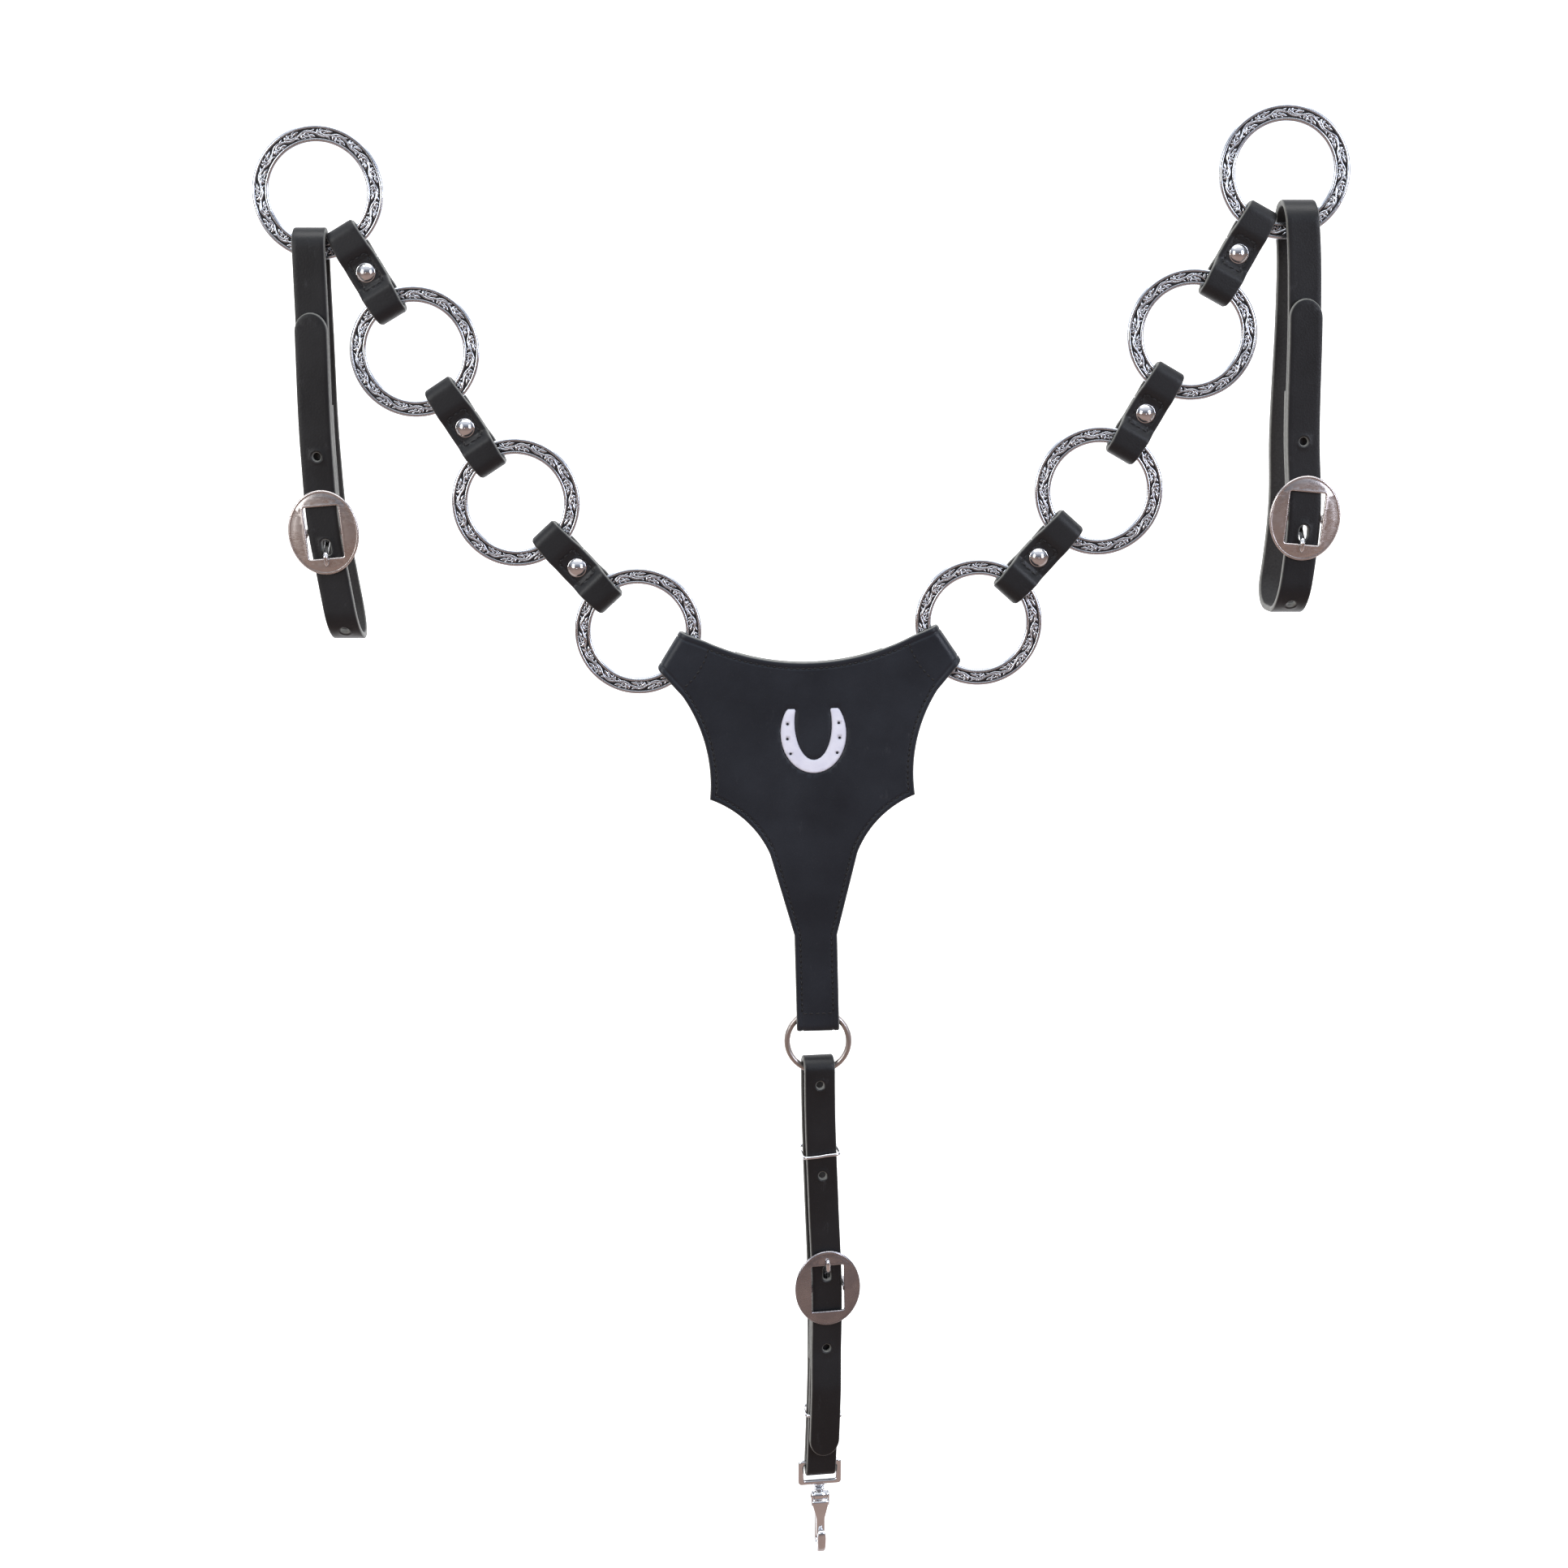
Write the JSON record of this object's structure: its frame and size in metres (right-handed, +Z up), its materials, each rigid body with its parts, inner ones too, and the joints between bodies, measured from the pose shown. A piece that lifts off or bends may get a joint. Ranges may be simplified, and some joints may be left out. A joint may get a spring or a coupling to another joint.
{
  "type": "ring breast collar",
  "caption": "Leather breast collar with a stitched shield, a chain of engraved rings and riveted links up each side, two buckled tug loops, and a buckled lower strap with a snap.",
  "frame": {"origin": "middle of the shield's flat back face, where it rests on the chest", "axes": "+X to the right seen from the front, +Z up as it hangs, front towards -Y"},
  "size_m": [0.6244, 0.0501, 0.8942],
  "materials": {
    "black_leather": "smooth, lightly oiled",
    "inlay": "painted, smooth",
    "engraved_steel": "polished relief on a blackened ground",
    "polished_steel": "polished",
    "satin_steel": "satin with a polished rim",
    "dull_steel": "dull"
  },
  "bodies": {
    "yoke": {"yoke_face": "black_leather", "yoke_lining": "black_leather", "yoke_inlay": "inlay"},
    "left_ring_1": {"left_ring_1": "engraved_steel"},
    "left_ring_2": {"left_ring_2": "engraved_steel"},
    "left_ring_3": {"left_ring_3": "engraved_steel"},
    "left_ring_4": {"left_ring_4": "engraved_steel"},
    "left_link_1": {"left_link_1": "black_leather", "left_rivet_1": "polished_steel", "left_rivet_1_washer": "dull_steel"},
    "left_link_2": {"left_link_2": "black_leather", "left_rivet_2": "polished_steel", "left_rivet_2_washer": "dull_steel"},
    "left_link_3": {"left_link_3": "black_leather", "left_rivet_3": "polished_steel", "left_rivet_3_washer": "dull_steel"},
    "left_tug": {"left_tug_strap": "black_leather", "left_tug_buckle": "satin_steel"},
    "left_tug_tongue": {"left_tug_tongue": "polished_steel"},
    "right_ring_1": {"right_ring_1": "engraved_steel"},
    "right_ring_2": {"right_ring_2": "engraved_steel"},
    "right_ring_3": {"right_ring_3": "engraved_steel"},
    "right_ring_4": {"right_ring_4": "engraved_steel"},
    "right_link_1": {"right_link_1": "black_leather", "right_rivet_1": "polished_steel", "right_rivet_1_washer": "dull_steel"},
    "right_link_2": {"right_link_2": "black_leather", "right_rivet_2": "polished_steel", "right_rivet_2_washer": "dull_steel"},
    "right_link_3": {"right_link_3": "black_leather", "right_rivet_3": "polished_steel", "right_rivet_3_washer": "dull_steel"},
    "right_tug": {"right_tug_strap": "black_leather", "right_tug_buckle": "satin_steel"},
    "right_tug_tongue": {"right_tug_tongue": "polished_steel"},
    "bottom_ring": {"bottom_ring": "dull_steel"},
    "lower_strap": {"lower_strap": "black_leather", "lower_buckle": "satin_steel"},
    "lower_tongue": {"lower_tongue": "polished_steel"},
    "upper_keeper": {"upper_keeper": "polished_steel"},
    "lower_keeper": {"lower_keeper": "polished_steel"},
    "snap": {"snap_body": "polished_steel", "snap_pin": "polished_steel", "snap_spring": "polished_steel"},
    "snap_gate": {"snap_gate": "polished_steel"}
  },
  "joints": [
    {"name": "left_ring_1_turn", "type": "hinge", "parent": "yoke", "child": "left_ring_1", "pos_m": [-0.10597, 0, 0.05739], "axis": [0, -1, 0], "range_deg": [-20, 20]},
    {"name": "left_ring_2_turn", "type": "hinge", "parent": "left_link_1", "child": "left_ring_2", "pos_m": [-0.17643, 0, 0.13321], "axis": [0, -1, 0], "range_deg": [-20, 20]},
    {"name": "left_ring_3_turn", "type": "hinge", "parent": "left_link_2", "child": "left_ring_3", "pos_m": [-0.2328, 0, 0.22001], "axis": [0, -1, 0], "range_deg": [-20, 20]},
    {"name": "left_ring_4_turn", "type": "hinge", "parent": "left_link_3", "child": "left_ring_4", "pos_m": [-0.28517, 0, 0.30928], "axis": [0, -1, 0], "range_deg": [-45, 0]},
    {"name": "left_link_1_fold", "type": "hinge", "parent": "left_ring_1", "child": "left_link_1", "pos_m": [-0.12823, 0, 0.08134], "axis": [-0.7325, 0, -0.6807], "range_deg": [-25, 25]},
    {"name": "left_link_2_fold", "type": "hinge", "parent": "left_ring_2", "child": "left_link_2", "pos_m": [-0.19424, 0, 0.16063], "axis": [-0.8387, 0, -0.5446], "range_deg": [-25, 25]},
    {"name": "left_link_3_fold", "type": "hinge", "parent": "left_ring_3", "child": "left_link_3", "pos_m": [-0.24935, 0, 0.24821], "axis": [-0.8625, 0, -0.506], "range_deg": [-25, 25]},
    {"name": "left_tug_swing", "type": "hinge", "parent": "left_ring_4", "child": "left_tug", "pos_m": [-0.29003, 0, 0.27856], "axis": [1, 0, 0], "range_deg": [-60, 60]},
    {"name": "left_tongue_lift", "type": "hinge", "parent": "left_tug", "child": "left_tug_tongue", "pos_m": [-0.2864, -0.00473, 0.1174], "axis": [-0.9962, 0, -0.0872], "range_deg": [0, 8]},
    {"name": "right_ring_1_turn", "type": "hinge", "parent": "yoke", "child": "right_ring_1", "pos_m": [0.09456, 0, 0.06264], "axis": [0, 1, 0], "range_deg": [-20, 20]},
    {"name": "right_ring_2_turn", "type": "hinge", "parent": "right_link_1", "child": "right_ring_2", "pos_m": [0.16341, 0, 0.13992], "axis": [0, 1, 0], "range_deg": [-20, 20]},
    {"name": "right_ring_3_turn", "type": "hinge", "parent": "right_link_2", "child": "right_ring_3", "pos_m": [0.21485, 0, 0.22973], "axis": [0, 1, 0], "range_deg": [-20, 20]},
    {"name": "right_ring_4_turn", "type": "hinge", "parent": "right_link_3", "child": "right_ring_4", "pos_m": [0.26423, 0, 0.32069], "axis": [0, 1, 0], "range_deg": [-45, 0]},
    {"name": "right_link_1_fold", "type": "hinge", "parent": "right_ring_1", "child": "right_link_1", "pos_m": [0.11631, 0, 0.08705], "axis": [-0.7466, 0, 0.6652], "range_deg": [-25, 25]},
    {"name": "right_link_2_fold", "type": "hinge", "parent": "right_ring_2", "child": "right_link_2", "pos_m": [0.17966, 0, 0.16829], "axis": [-0.8678, 0, 0.497], "range_deg": [-25, 25]},
    {"name": "right_link_3_fold", "type": "hinge", "parent": "right_ring_3", "child": "right_link_3", "pos_m": [0.23045, 0, 0.25847], "axis": [-0.8788, 0, 0.4772], "range_deg": [-25, 25]},
    {"name": "right_tug_swing", "type": "hinge", "parent": "right_ring_4", "child": "right_tug", "pos_m": [0.27399, 0, 0.29202], "axis": [1, 0, 0], "range_deg": [-60, 60]},
    {"name": "right_tongue_lift", "type": "hinge", "parent": "right_tug", "child": "right_tug_tongue", "pos_m": [0.2806, -0.00669, 0.1259], "axis": [-0.9962, 0, 0.0872], "range_deg": [0, 8]},
    {"name": "bottom_ring_turn", "type": "hinge", "parent": "yoke", "child": "bottom_ring", "pos_m": [0.00072, 0, -0.1955], "axis": [0, 1, 0], "range_deg": [-25, 25]},
    {"name": "lower_strap_swing", "type": "hinge", "parent": "bottom_ring", "child": "lower_strap", "pos_m": [0.00062, 0, -0.21301], "axis": [0.9877, 0.1564, 0], "range_deg": [-60, 80]},
    {"name": "lower_tongue_lift", "type": "hinge", "parent": "lower_strap", "child": "lower_tongue", "pos_m": [0.00526, 0.00255, -0.3529], "axis": [0.9875, 0.1564, 0.0175], "range_deg": [0, 8]},
    {"name": "upper_keeper_slide", "type": "slide", "parent": "lower_strap", "child": "upper_keeper", "axis": [-0.037, -0.0059, 0.9993], "range_m": [-0.015, 0.015]},
    {"name": "lower_keeper_slide", "type": "slide", "parent": "lower_strap", "child": "lower_keeper", "axis": [0.0314, 0.005, 0.9995], "range_m": [-0.008, 0.008]},
    {"name": "snap_swing", "type": "hinge", "parent": "lower_strap", "child": "snap", "pos_m": [0.00264, 0.00245, -0.4758], "axis": [0.9877, 0.1564, 0], "range_deg": [-60, 60]},
    {"name": "snap_gate_open", "type": "hinge", "parent": "snap", "child": "snap_gate", "pos_m": [0.00285, 0.00116, -0.498], "axis": [0.9877, 0.1564, 0], "range_deg": [0, 10.5], "stiffness_Nm_per_rad": 0.05, "springref_deg": -17.19}
  ]
}
